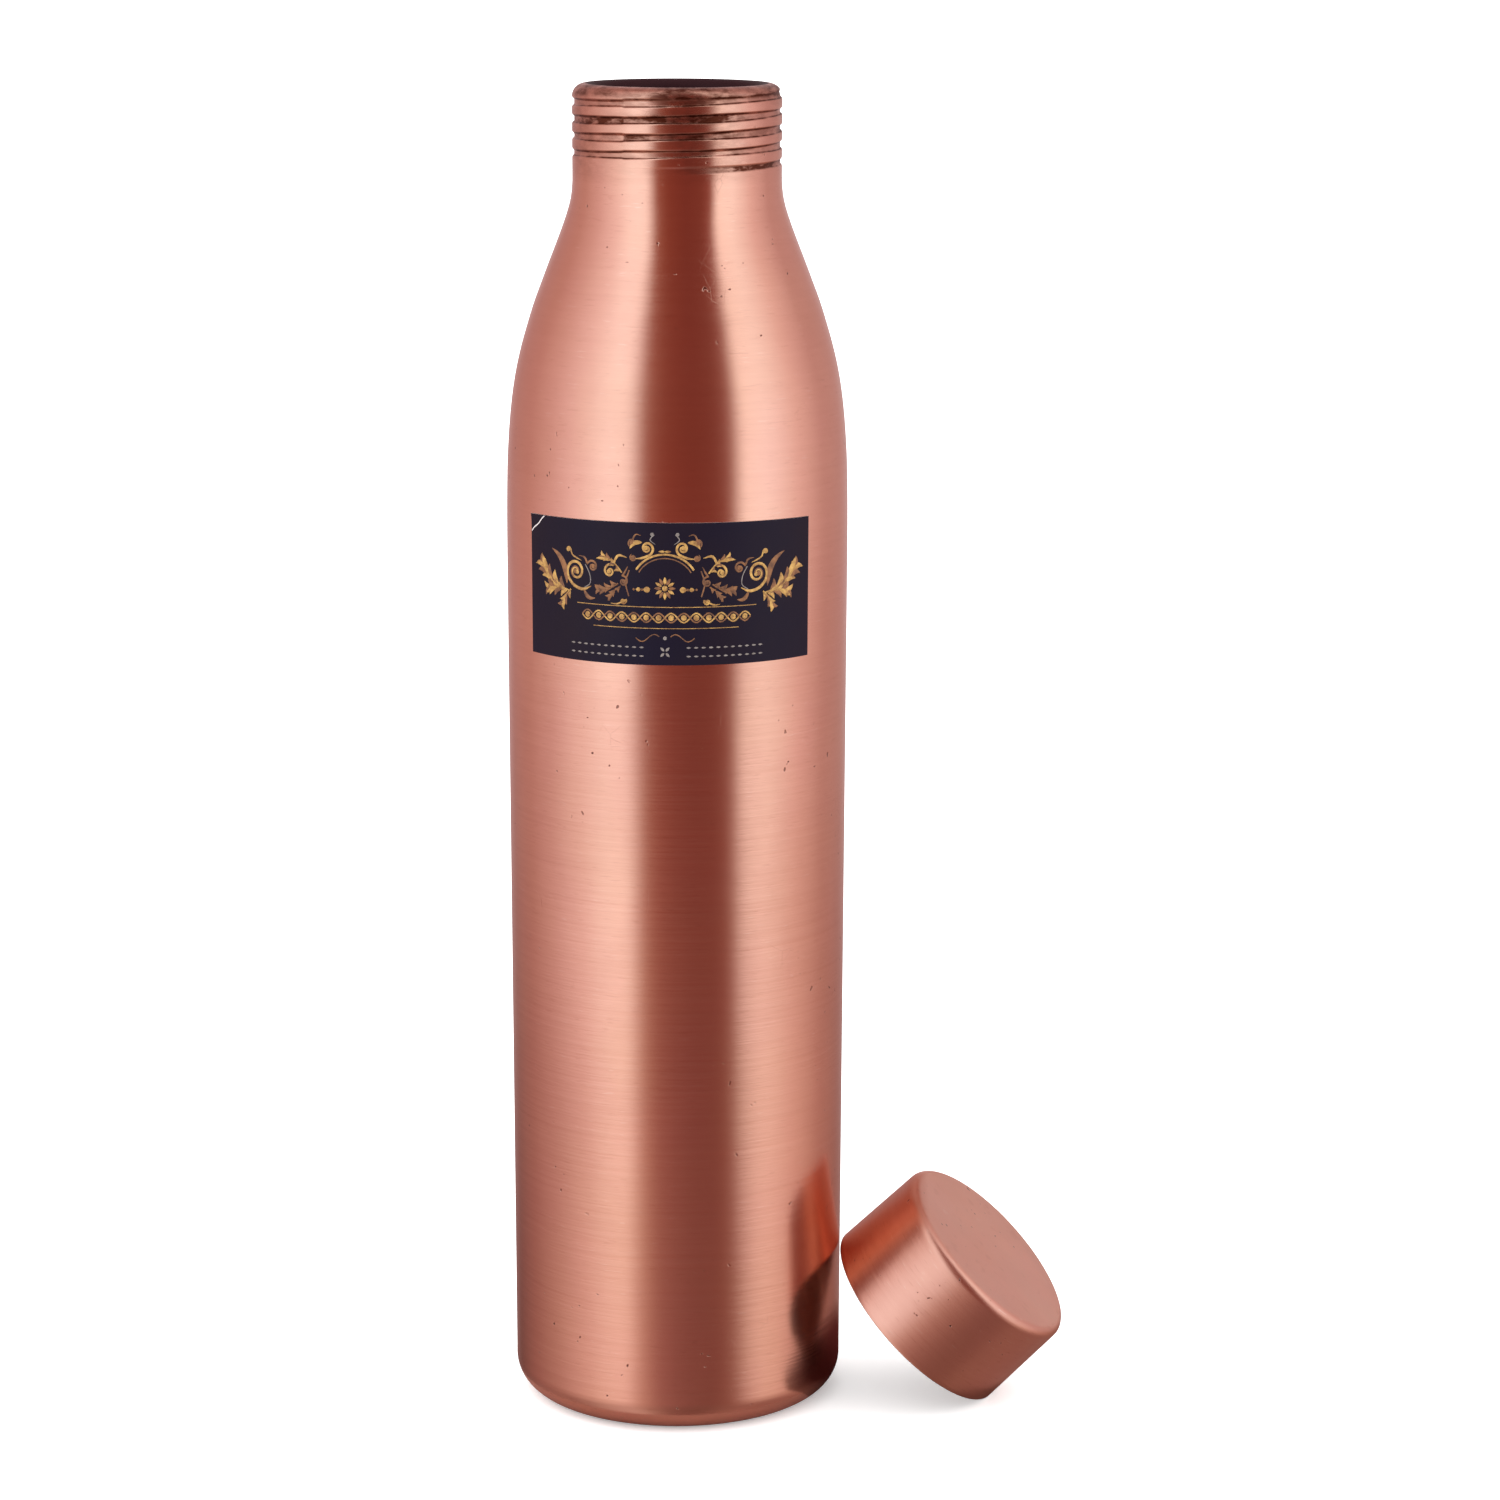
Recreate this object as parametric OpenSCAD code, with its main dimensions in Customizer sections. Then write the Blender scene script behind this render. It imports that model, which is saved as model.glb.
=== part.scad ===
// Copper water bottle with a loose screw cap leaning against its side.
// Millimetres, +Z up. The origin is the centre of the ring the bottle stands on.

/* [Bottle] */
// Overall height from the floor to the crest of the lip
bottle_height = 283; // [240:1:320]
// Outer radius of the body just above the base corner
body_r_low = 35.37; // [32:0.01:38]
// Outer radius of the body just below the shoulder
body_r_high = 36.04; // [32:0.01:38]
// Thickness of the copper sheet
wall = 0.55; // [0.4:0.05:1.2]
// Outer radius of the rounded base corner
corner_r = 7.2; // [5:0.1:14]
// Inner radius of the turned-in ring at the bottom
foot_inner_r = 21.5; // [16:0.5:24]

/* [Neck] */
// Outer radius of the neck, which is the crest of the thread
neck_r = 21.86; // [20:0.01:24]
// Outer radius of the curled lip's cross-section
lip_r = 2.7; // [1.5:0.1:3]
// Length of the straight tail inside the curled lip
lip_tail = 2.4; // [1:0.1:4]
// Distance from one thread groove to the next
thread_pitch = 3.47; // [2:0.01:5]
// Depth of the rolled groove
thread_depth = 0.5; // [0.3:0.05:0.8]
// Height above the floor where the groove starts
thread_start = 265.9; // [262:0.1:270]
// Direction in which the groove starts
thread_start_angle = 240; // [0:1:359]
// Turns of the rolled groove
thread_turns = 4.7; // [3:0.1:5]

/* [Base disc] */
// Outer radius of the disc that closes the underside
disc_r = 24.3; // [22:0.1:26]
// How far the middle of the disc is raised above its flange
disc_rise = 1.5; // [0.5:0.1:3]

/* [Label] */
// Height of the label's lower edge above the floor
label_low = 166.9; // [60:0.1:170]
// Height of the label
label_height = 29.1; // [15:0.1:40]
// Angle the label wraps around the body
label_wrap = 104.5; // [60:0.5:180]
// Direction of the middle of the label
label_facing = 266.9; // [0:0.1:359]
// Thickness of the label
label_thick = 0.25; // [0.1:0.05:0.5]

/* [Cap] */
// Outer radius of the cap at its open rim
cap_rim_r = 23.45; // [22.5:0.05:25]
// Outer radius of the cap below its top corner
cap_top_r = 23; // [22.5:0.05:25]
// Outer height of the cap
cap_height = 22.85; // [18:0.05:30]
// Outer radius of the rounded corner around the top
cap_corner = 2.3; // [1:0.1:4]
// Outer radius of the threaded sleeve
sleeve_r = 22.42; // [22.2:0.01:23]
// Wall of the threaded sleeve
sleeve_wall = 0.4; // [0.3:0.05:0.8]
// How far the sleeve's rolled ridge stands inwards
sleeve_ridge = 0.55; // [0.3:0.05:0.8]
// Height of the lower end of the sleeve's ridge above the rim
sleeve_thread_low = 4.6; // [3:0.1:8]
// Turns of the sleeve's ridge
sleeve_turns = 2.6; // [1:0.1:3.5]
// Thickness of the liner disc under the cap's top
liner_thick = 0.5; // [0.3:0.1:1]
// Outer radius of the sealing ring
gasket_r = 21.5; // [19:0.1:21.6]
// Thickness of the sealing ring
gasket_thick = 1.8; // [1:0.1:2.5]

/* [Leaning cap] */
// Angle between the cap's axis and the floor
cap_tilt = 45.5; // [30:0.5:80]
// Direction in which the closed top of the cap points
cap_facing = -13; // [-60:1:60]
// Position of the rim's centre along X
cap_x = 52.47; // [45:0.01:80]
// Position of the rim's centre along Y
cap_y = -4.1; // [-20:0.05:20]

/* [Hidden] */
$fn = 128;
lip_centre_r = neck_r - lip_r;
lip_z = bottle_height - lip_r;
coil_steps = 30;
sleeve_low = 0.8;
liner_z = cap_height - wall - liner_thick;
gasket_z = liner_z - 0.05 - gasket_thick;
// [radius, height] of the outer surface from the shoulder up to the neck
shoulder = [
    [36.02, 192.1], [35.96, 198.1], [35.82, 204.2], [35.56, 209.2], [35.16, 214.3], [34.5, 219.8],
    [33.69, 224.4], [32.6, 229], [31.3, 233.5], [29.94, 237.8], [28.37, 242], [26.86, 246],
    [25.45, 249.6], [24.23, 252.8], [23.24, 255.6], [22.62, 257.6], [22.22, 259.3], [21.98, 261]
];
copper = [0.78, 0.45, 0.36];

// Points of an arc in the radius-height plane
function arc(c, r, a0, a1, n) = [for (i = [0:n]) let (a = a0 + (a1 - a0) * i / n) c + r * [cos(a), sin(a)]];
// Radius of the body's outer surface at height z
function body_r(z) = body_r_low + (body_r_high - body_r_low) * (z - corner_r) / (188 - corner_r);
// Unit normal, to the left of the path, at point i
function normal(p, i) =
    let (a = p[max(i - 1, 0)], b = p[min(i + 1, len(p) - 1)], d = (b - a) / norm(b - a)) [-d[1], d[0]];
// Closed outline of a sheet of thickness t whose outer face is the path p
function sheet(p, t) = concat(p, [for (i = [len(p) - 1:-1:0]) p[i] + t * normal(p, i)]);

// Outer face of the bottle, from the turned-in foot to the tail of the curled lip
bottle_path = concat(
    [[foot_inner_r, 0]],
    arc([body_r_low - corner_r, corner_r], corner_r, -90, 0, 8),
    [[body_r(100), 100], [body_r_high, 188]],
    shoulder,
    [[neck_r, 263], [neck_r, lip_z]],
    arc([lip_centre_r, lip_z], lip_r, 15, 180, 11),
    [[lip_centre_r - lip_r, lip_z - lip_tail]]
);

// Helical bar whose section is a trapezoid: base_r to crest_r, half heights base_h and crest_h.
// It grows out of radius r0 over its first turn, and fades again at the top when fade_top is true.
module coil(base_r, crest_r, base_h, crest_h, r0, z0, a0, turns, fade_top) {
    n = 4;
    steps = round(turns * coil_steps);
    ramp = 0.3 * coil_steps;
    pts = [for (i = [0:steps])
        let (top = fade_top ? (steps - i) / ramp : 1, k = max(0.12, min(1, i / ramp, top)))
        let (r = r0 + (crest_r - r0) * k, a = a0 + 360 * i / coil_steps)
        let (z = z0 + thread_pitch * i / coil_steps)
        for (s = [[base_r, -base_h], [r, -crest_h], [r, crest_h], [base_r, base_h]])
            [s[0] * cos(a), s[0] * sin(a), z + s[1] * k]];
    sides = [for (i = [0:steps - 1]) for (j = [0:n - 1])
        let (a = i * n + j, b = i * n + (j + 1) % n)
        each [[a, a + n, b], [b, a + n, b + n]]];
    ends = [[for (j = [0:n - 1]) j], [for (j = [n - 1:-1:0]) steps * n + j]];
    polyhedron(points = pts, faces = concat(sides, ends), convexity = 10);
}

// Drawn and spun copper body with its shoulder, rolled thread and curled lip
module bottle_shell() {
    inner = neck_r - wall;
    color(copper) difference() {
        union() {
            rotate_extrude() polygon(sheet(bottle_path, wall));
            coil(inner + 0.25, inner - thread_depth, 1.1, 0.3, inner,
                 thread_start, thread_start_angle, thread_turns - 0.4, true);
        }
        coil(neck_r + 0.6, neck_r - thread_depth, 1.3, 0.35, neck_r,
             thread_start, thread_start_angle, thread_turns, false);
    }
}

// Pressed disc lying on the turned-in foot and closing the bottle
module base_disc() {
    z = wall + 0.02;
    outer = foot_inner_r - 0.6;
    color([0.74, 0.42, 0.33]) rotate_extrude() polygon([
        [0, z + disc_rise], [outer - 2, z + disc_rise], [outer, z], [disc_r, z],
        [disc_r, z + wall], [outer + 0.3, z + wall], [outer - 1.7, z + disc_rise + wall],
        [0, z + disc_rise + wall]
    ]);
}

// Printed vinyl sticker wrapped around the upper body
module label() {
    r0 = body_r(label_low) + 0.02;
    r1 = body_r(label_low + label_height) + 0.02;
    color([0.13, 0.1, 0.17]) rotate([0, 0, label_facing - label_wrap / 2])
        rotate_extrude(angle = label_wrap) polygon([
            [r0, label_low], [r0 + label_thick, label_low],
            [r1 + label_thick, label_low + label_height], [r1, label_low + label_height]
        ]);
}

// Moves a piece modelled around Z, rim at zero and top upwards, to the leaning pose
module lean() {
    translate([cap_x, cap_y, cap_rim_r * cos(cap_tilt)]) rotate([0, 90 - cap_tilt, cap_facing]) children();
}

// Drawn outer cup of the cap
module cap_shell() {
    path = concat(
        [[cap_rim_r, 0]],
        arc([cap_top_r - cap_corner, cap_height - cap_corner], cap_corner, 0, 90, 6),
        [[0, cap_height]]
    );
    color(copper) lean() rotate_extrude() polygon(sheet(path, wall));
}

// Threaded ring pressed into the cup
module cap_sleeve() {
    root = sleeve_r - sleeve_wall;
    high = cap_height - cap_corner - 0.1;
    color([0.74, 0.42, 0.33]) lean() union() {
        rotate_extrude() polygon([
            [root, sleeve_low], [sleeve_r, sleeve_low], [sleeve_r, high], [root, high]
        ]);
        coil(root + 0.2, root - sleeve_ridge, 1.1, 0.3, root, sleeve_thread_low, 0, sleeve_turns, true);
    }
}

// Disc between the cup's top and the sealing ring
module cap_liner() {
    color([0.74, 0.42, 0.33]) lean() translate([0, 0, liner_z])
        cylinder(r = cap_top_r - cap_corner - 0.3, h = liner_thick - 0.02);
}

// Silicone ring that seals on the bottle's lip
module cap_gasket() {
    color([0.88, 0.88, 0.86]) lean() rotate_extrude() polygon([
        [gasket_r - 5.5, gasket_z], [gasket_r, gasket_z],
        [gasket_r, gasket_z + gasket_thick], [gasket_r - 5.5, gasket_z + gasket_thick]
    ]);
}

bottle_shell();
base_disc();
label();
cap_shell();
cap_sleeve();
cap_liner();
cap_gasket();
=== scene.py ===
"""Copper water bottle with its screw cap leaning against it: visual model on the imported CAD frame."""

import bpy
import math
import numpy as np
from mathutils import Matrix, Vector


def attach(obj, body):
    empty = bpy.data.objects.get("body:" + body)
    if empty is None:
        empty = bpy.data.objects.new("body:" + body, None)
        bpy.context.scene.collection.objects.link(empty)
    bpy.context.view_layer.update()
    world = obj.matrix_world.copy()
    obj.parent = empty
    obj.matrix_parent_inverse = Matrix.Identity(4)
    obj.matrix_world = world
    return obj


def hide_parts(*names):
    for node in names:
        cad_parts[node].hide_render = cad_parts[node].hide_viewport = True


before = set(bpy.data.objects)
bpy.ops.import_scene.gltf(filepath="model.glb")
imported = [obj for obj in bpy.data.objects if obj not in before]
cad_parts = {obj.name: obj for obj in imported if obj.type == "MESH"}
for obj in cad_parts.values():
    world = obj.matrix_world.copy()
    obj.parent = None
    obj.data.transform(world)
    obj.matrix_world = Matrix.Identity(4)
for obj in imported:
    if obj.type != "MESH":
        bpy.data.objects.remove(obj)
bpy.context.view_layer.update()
MM = 0.001
TAU = 2 * math.pi

# ------------------------------------------------ sizes in millimetres, as in the CAD or just inside it
HEIGHT, WALL = 283.0, 0.55
BODY_LOW, BODY_HIGH, BODY_TOP, CORNER, FOOT_R = 35.37, 36.04, 188.0, 7.2, 21.5
NECK_R, NECK_LOW, LIP_R, LIP_TAIL = 21.86, 264.5, 2.7, 2.4
LIP_IN = NECK_R - LIP_R
PITCH, GROOVE, THREAD_Z, THREAD_A, THREAD_TURNS = 3.47, 0.5, 265.9, 240.0, 4.7
SHOULDER = [(36.02, 192.1), (35.96, 198.1), (35.82, 204.2), (35.56, 209.2), (35.16, 214.3), (34.5, 219.8),
            (33.69, 224.4), (32.6, 229.0), (31.3, 233.5), (29.94, 237.8), (28.37, 242.0), (26.86, 246.0),
            (25.45, 249.6), (24.23, 252.8), (23.24, 255.6), (22.62, 257.6), (22.22, 259.3), (21.98, 261.0)]
DISC_R, DISC_RISE = 24.2, 1.5
CAP_RIM, CAP_TOP, CAP_H, CAP_CORNER = 23.45, 23.0, 22.85, 2.3
TILT, FACING, CAP_X, CAP_Y = 45.5, -13.0, 52.47, -4.1
SLEEVE_IN, SLEEVE_WALL, SLEEVE_RIDGE, SLEEVE_LOW, SLEEVE_TURNS = 22.02, 0.4, 0.55, 4.6, 2.6
LINER_R, LINER_THICK, LINER_GAP = 20.39, 0.5, 0.02
SEAL_IN, SEAL_OUT, SEAL_THICK, SEAL_EDGE, SEAL_GAP = 16.0, 21.5, 1.8, 0.4, 0.05
LABEL_LOW, LABEL_H, LABEL_WRAP, LABEL_FACING = 166.9, 29.1, 104.5, 266.9
LABEL_R, LABEL_GAP, LABEL_THICK = 35.95, 0.04, 0.16


# ---------------------------------------------------------------- mesh helpers
def smooth_path(points, step):
    """A centripetal Catmull-Rom curve through the points, sampled about every step."""
    p = [np.array(q, float) for q in points]
    p = [2 * p[0] - p[1]] + p + [2 * p[-1] - p[-2]]
    out = []
    for i in range(1, len(p) - 2):
        a, b, c, d = p[i - 1:i + 3]
        n = max(1, int(np.linalg.norm(c - b) / step))
        t0, t1 = 0.0, np.linalg.norm(b - a) ** 0.5
        t2 = t1 + np.linalg.norm(c - b) ** 0.5
        t3 = t2 + np.linalg.norm(d - c) ** 0.5
        for k in range(n):
            t = t1 + (t2 - t1) * k / n
            ab = (t1 - t) / (t1 - t0) * a + (t - t0) / (t1 - t0) * b
            bc = (t2 - t) / (t2 - t1) * b + (t - t1) / (t2 - t1) * c
            cd = (t3 - t) / (t3 - t2) * c + (t - t2) / (t3 - t2) * d
            e = (t2 - t) / (t2 - t0) * ab + (t - t0) / (t2 - t0) * bc
            f = (t3 - t) / (t3 - t1) * bc + (t - t1) / (t3 - t1) * cd
            out.append((t2 - t) / (t2 - t1) * e + (t - t1) / (t2 - t1) * f)
    out.append(p[-2])
    return np.array(out)


def arc(cx, cz, r, a0, a1, n):
    """Points of an arc in the radius-height plane, angles in degrees."""
    a = np.radians(np.linspace(a0, a1, n + 1))
    return np.stack([cx + r * np.cos(a), cz + r * np.sin(a)], 1)


def line(a, b, n):
    """Points of a straight run in n steps."""
    t = np.linspace(0, 1, n + 1)[:, None]
    return np.array(a, float) * (1 - t) + np.array(b, float) * t


def join(*parts):
    """Joins point runs and drops repeated points."""
    p = np.concatenate([np.array(q, float).reshape(-1, 2) for q in parts])
    keep = np.ones(len(p), bool)
    keep[1:] = np.linalg.norm(np.diff(p, axis=0), axis=1) > 1e-5
    return p[keep]


def normals(p):
    """Unit normals to the left of a path."""
    d = np.gradient(p, axis=0)
    d /= np.linalg.norm(d, axis=1)[:, None]
    return np.stack([-d[:, 1], d[:, 0]], 1)


def mesh_object(name, verts, faces, materials, smooth=True, face_mats=None, attrs=None):
    me = bpy.data.meshes.new(name)
    me.from_pydata([tuple(v) for v in verts], [], faces)
    for m in materials:
        me.materials.append(m)
    me.polygons.foreach_set("use_smooth", [smooth] * len(me.polygons))
    if face_mats is not None:
        me.polygons.foreach_set("material_index", face_mats)
    for key, values in (attrs or {}).items():
        me.attributes.new(key, "FLOAT", "POINT").data.foreach_set("value", np.asarray(values, np.float32))
    me.validate()
    me.update()
    o = bpy.data.objects.new(name, me)
    bpy.context.scene.collection.objects.link(o)
    return o


def lathe(name, loop, n, material, radius_shift=None, attr=None, closed=True, matrix=None):
    """Turns a (radius, height) outline around Z. radius_shift(theta, i) moves point i outwards, in
    millimetres, and attr(theta, i) says how dark its oxide and painted shade are."""
    a = np.linspace(0, TAU, n, endpoint=False) + math.pi / 2
    rows, attrs, base = [], [], []
    for i, (r, z) in enumerate(loop):
        if r < 1e-6:
            base.append((len(rows), 1))
            rows.append((0.0, 0.0, z))
            attrs.append(0.0)
            continue
        shift = radius_shift(a, i) if radius_shift else np.zeros(n)
        base.append((len(rows), n))
        rows.extend(zip((r + shift) * np.cos(a), (r + shift) * np.sin(a), np.full(n, z)))
        attrs.extend(attr(a, i) if attr else np.zeros(n))
    faces = []
    pairs = list(zip(range(len(loop)), range(1, len(loop))))
    if closed:
        pairs.append((len(loop) - 1, 0))
    for i, j in pairs:
        (p, p_count), (q, q_count) = base[i], base[j]
        for k in range(n):
            after = (k + 1) % n
            if p_count == 1 and q_count == 1:
                continue
            if p_count == 1:
                faces.append((p, q + after, q + k))
            elif q_count == 1:
                faces.append((p + k, p + after, q))
            else:
                faces.append((p + k, p + after, q + after, q + k))
    o = mesh_object(name, np.array(rows) * MM, faces, [material], attrs={"patina_and_shade": attrs})
    if matrix is not None:
        o.matrix_world = matrix
    return o


def wave(theta, z, seed, terms=7):
    """A slow, repeatable unevenness between about -1 and 1 over an angle and a height in millimetres."""
    rng = np.random.default_rng(seed)
    out = np.zeros(np.broadcast(theta, z).shape)
    for _ in range(terms):
        k, w, ph = rng.integers(1, 6), rng.uniform(0.01, 0.05), rng.uniform(0, TAU)
        out = out + np.sin(k * theta + w * z * TAU / 6 + ph)
    return out / terms


# ---------------------------------------------------------------- material helpers
class Nodes:
    """A material with a Principled shader, and short ways to add nodes to it."""

    def __init__(self, name):
        self.mat = bpy.data.materials.new(name)
        self.mat.use_nodes = True
        self.t = self.mat.node_tree
        self.bsdf = self.t.nodes["Principled BSDF"]
        self.coord = self.t.nodes.new("ShaderNodeTexCoord").outputs["Object"]

    def put(self, key, value):
        s = self.bsdf.inputs[key]
        if hasattr(value, "is_output"):
            self.t.links.new(value, s)
        else:
            s.default_value = value

    def new(self, kind, **props):
        n = self.t.nodes.new(kind)
        for k, v in props.items():
            setattr(n, k, v)
        return n

    def link(self, a, b):
        if hasattr(a, "is_output"):
            self.t.links.new(a, b)
        else:
            b.default_value = a

    def scaled(self, x, y, z, offset=(0, 0, 0)):
        m = self.new("ShaderNodeMapping")
        self.link(self.coord, m.inputs["Vector"])
        m.inputs["Scale"].default_value = (x, y, z)
        m.inputs["Location"].default_value = offset
        return m.outputs["Vector"]

    def noise(self, vector, scale=1.0, detail=3.0, rough=0.5, distortion=0.0):
        n = self.new("ShaderNodeTexNoise")
        self.link(vector, n.inputs["Vector"])
        n.inputs["Scale"].default_value = scale
        n.inputs["Detail"].default_value = detail
        n.inputs["Roughness"].default_value = rough
        n.inputs["Distortion"].default_value = distortion
        return n.outputs["Fac"]

    def ramp(self, fac, *stops):
        r = self.new("ShaderNodeValToRGB")
        self.link(fac, r.inputs["Fac"])
        e = r.color_ramp.elements
        # the ends first, because adding a stop moves the others
        ends = [(e[0], stops[0]), (e[1], stops[-1])]
        for el, (pos, c) in ends:
            el.position = pos
            el.color = (c, c, c, 1) if isinstance(c, (int, float)) else (*c, 1)
        for pos, c in stops[1:-1]:
            e.new(pos).color = (c, c, c, 1) if isinstance(c, (int, float)) else (*c, 1)
        return r.outputs["Color"]

    def mix(self, fac, a, b, blend="MIX"):
        m = self.new("ShaderNodeMix", data_type="RGBA", blend_type=blend)
        self.link(fac, m.inputs[0])
        for v, s in ((a, m.inputs[6]), (b, m.inputs[7])):
            self.link(v if hasattr(v, "is_output") else (*v, 1), s)
        return m.outputs[2]

    def math(self, op, a, b=0.0, c=0.0, clamp=False):
        m = self.new("ShaderNodeMath", operation=op, use_clamp=clamp)
        for v, s in zip((a, b, c), m.inputs):
            self.link(v, s)
        return m.outputs[0]

    def attr(self, name):
        return self.new("ShaderNodeAttribute", attribute_name=name).outputs["Fac"]

    def bump(self, *layers):
        """layers: (height, strength, distance in metres)"""
        normal = None
        for h, strength, distance in layers:
            b = self.new("ShaderNodeBump")
            b.inputs["Strength"].default_value = strength
            b.inputs["Distance"].default_value = distance
            self.link(h, b.inputs["Height"])
            if normal is not None:
                self.link(normal, b.inputs["Normal"])
            normal = b.outputs["Normal"]
        self.put("Normal", normal)


def scratches_and_pits(m, specks):
    """Masks of short hairline scratches and of pinhead pits, both in scattered groups."""
    dots = m.noise(m.scaled(640, 640, 640, (1, 9, 4)), detail=1.5)
    where = m.noise(m.scaled(34, 34, 30, (5, 5, 1)), detail=2)
    pit = m.math("MULTIPLY", m.ramp(dots, (0.735, 0.0), (0.765, 1.0)), m.ramp(where, (0.5, 0.0), (0.62, 1.0)))
    pit = m.math("MULTIPLY", pit, specks)
    cell = m.new("ShaderNodeTexVoronoi", feature="DISTANCE_TO_EDGE")
    m.link(m.scaled(52, 52, 44, (0.3, 0.1, 0.2)), cell.inputs["Vector"])
    hair = m.math("MULTIPLY", m.ramp(cell.outputs["Distance"], (0.0, 1.0), (0.006, 0.0)),
                  m.ramp(m.noise(m.scaled(70, 70, 60, (8, 3, 3)), detail=2), (0.65, 0.0), (0.70, 1.0)))
    hair = m.math("MULTIPLY", hair, 0.4 * specks, clamp=True)
    return hair, pit


def copper(name, bright=(0.955, 0.56, 0.43), brown=(0.62, 0.27, 0.19), rough=0.19, age=0.25, specks=1.0,
           brush=1.0, flat_top=None, neck=False, bottle_reflection_side=None):
    """Brushed copper: fine lines around the axis, slow tarnish, pits, and dark oxide and painted shade where
    the mesh asks.
    flat_top is the height in metres above which the metal is dusty and matt. neck makes the upper part
    glossier, and black where the mesh's value is above 2, which is painted shade just inside the mouth. The
    last argument gives the direction in degrees of a painted reflection: a reddish, blotchy darkening of that
    side, which on the cap faces the bottle and stands in for its copper mirrored there."""
    m = Nodes(name)
    sep = m.new("ShaderNodeSeparateXYZ")
    m.link(m.coord, sep.inputs[0])
    fine = m.noise(m.scaled(90, 90, 5200), detail=4, rough=0.6)
    lines = m.noise(m.scaled(22, 22, 900, (3, 1, 0)), detail=3)
    dashes = m.noise(m.scaled(320, 320, 2600, (2, 7, 1)), detail=1.5)
    blotch = m.noise(m.scaled(26, 26, 18, (7, 2, 5)), detail=4, rough=0.6, distortion=0.4)
    cloud = m.ramp(blotch, (0.35, 0.0), (0.75, 1.0))
    hue = m.ramp(m.noise(m.scaled(60, 60, 35, (1, 4, 9)), detail=3), (0.38, 0.0), (0.66, 1.0))
    color = m.mix(m.math("MULTIPLY", cloud, age), bright, brown)
    color = m.mix(m.math("MULTIPLY", hue, 0.5), color, m.mix(1.0, color, (1.0, 0.94, 1.02), "MULTIPLY"))
    color = m.mix(m.math("MULTIPLY", m.ramp(lines, (0.3, 0.0), (0.8, 1.0)), 0.10), color, brown)
    dull, shiny = m.ramp(dashes, (0.28, 1.0), (0.36, 0.0)), m.ramp(dashes, (0.68, 0.0), (0.76, 1.0))
    color = m.mix(m.math("MULTIPLY", dull, 0.14 * brush), color, brown)
    color = m.mix(m.math("MULTIPLY", shiny, 0.20 * brush), color, (1.0, 0.76, 0.66))
    # painted reflection: a reddish, blotchy darkening of the side that faces the given direction, which on
    # the cap faces the bottle and stands in for its copper mirrored there
    if bottle_reflection_side is not None:
        a = math.radians(bottle_reflection_side)
        radius = (CAP_RIM + CAP_TOP) / 2 * MM
        side = m.math("MULTIPLY_ADD", sep.outputs[1], math.sin(a) / radius,
                      m.math("MULTIPLY", sep.outputs[0], math.cos(a) / radius))
        painted_reflection = m.math("MULTIPLY", m.ramp(side, (0.80, 0.0), (0.93, 1.0)),
                       m.ramp(blotch, (0.3, 1.0), (0.7, 0.55)))
        color = m.mix(painted_reflection, color, m.mix(1.0, color, (0.66, 0.33, 0.19), "MULTIPLY"))
    hair, pit = scratches_and_pits(m, specks)
    color = m.mix(hair, color, (0.42, 0.17, 0.12))
    color = m.mix(m.math("MULTIPLY", pit, 0.8), color, (0.09, 0.03, 0.025))
    worn = m.noise(m.scaled(260, 260, 700, (2, 3, 8)), detail=4, rough=0.65)
    patina_and_shade = m.attr("patina_and_shade")
    dark = m.math("MULTIPLY", patina_and_shade, m.ramp(worn, (0.36, 0.35), (0.6, 1.0)), clamp=True)
    color = m.mix(dark, color, (0.14, 0.041, 0.023))
    rough_out = m.math("MULTIPLY_ADD", fine, 0.10, rough - 0.05)
    rough_out = m.math("MULTIPLY_ADD", cloud, 0.06 * age / 0.25, rough_out)
    rough_out = m.math("MULTIPLY_ADD", dark, 0.25, rough_out)
    metal = 1.0
    if neck:
        high = m.math("MULTIPLY_ADD", sep.outputs[2], 40.0, -9.0, clamp=True)
        rough_out = m.math("MULTIPLY_ADD", high, -0.06, rough_out)
        # painted shade: where the mesh's value is above 2, just inside the mouth, the metal turns black and
        # stops being metal
        mouth_shade = m.math("SUBTRACT", patina_and_shade, 2.0, clamp=True)
        color = m.mix(mouth_shade, color, (0.022, 0.006, 0.008))
        metal = m.math("SUBTRACT", 1.0, mouth_shade)
        m.put("Specular IOR Level", 0.05)
    if flat_top is not None:
        top = m.math("MULTIPLY_ADD", sep.outputs[2], 2500.0, -2500.0 * flat_top, clamp=True)
        dust = m.noise(m.scaled(60, 60, 60), detail=5, rough=0.65)
        cover = m.math("MULTIPLY", top, m.ramp(dust, (0.3, 0.55), (0.7, 0.95)))
        color = m.mix(cover, color, (0.765, 0.54, 0.455))
        rough_out = m.math("MULTIPLY_ADD", top, 0.22, rough_out)
        metal = m.math("MULTIPLY_ADD", top, -0.1, metal)
    m.put("Base Color", color)
    m.put("Metallic", metal)
    m.put("Roughness", rough_out)
    m.bump((fine, 0.12 * brush, 0.00006), (lines, 0.12 * brush, 0.0002), (dashes, 0.05 * brush, 0.0001),
           (hair, 0.15, -0.0001), (pit, 0.5, -0.0002))
    return m


# ---------------------------------------------------------------- materials
mat_copper = copper("bottle_copper", neck=True).mat
mat_base = copper("base_copper", rough=0.3, age=0.5, brown=(0.5, 0.24, 0.17)).mat
# the cap's side at 198 degrees faces the bottle and gets the bottle's painted reflection
mat_cap = copper("cap_copper", rough=0.33, age=0.35, specks=1.5, brush=1.6, flat_top=(CAP_H - 0.25) * MM,
                 bottle_reflection_side=198).mat
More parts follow.
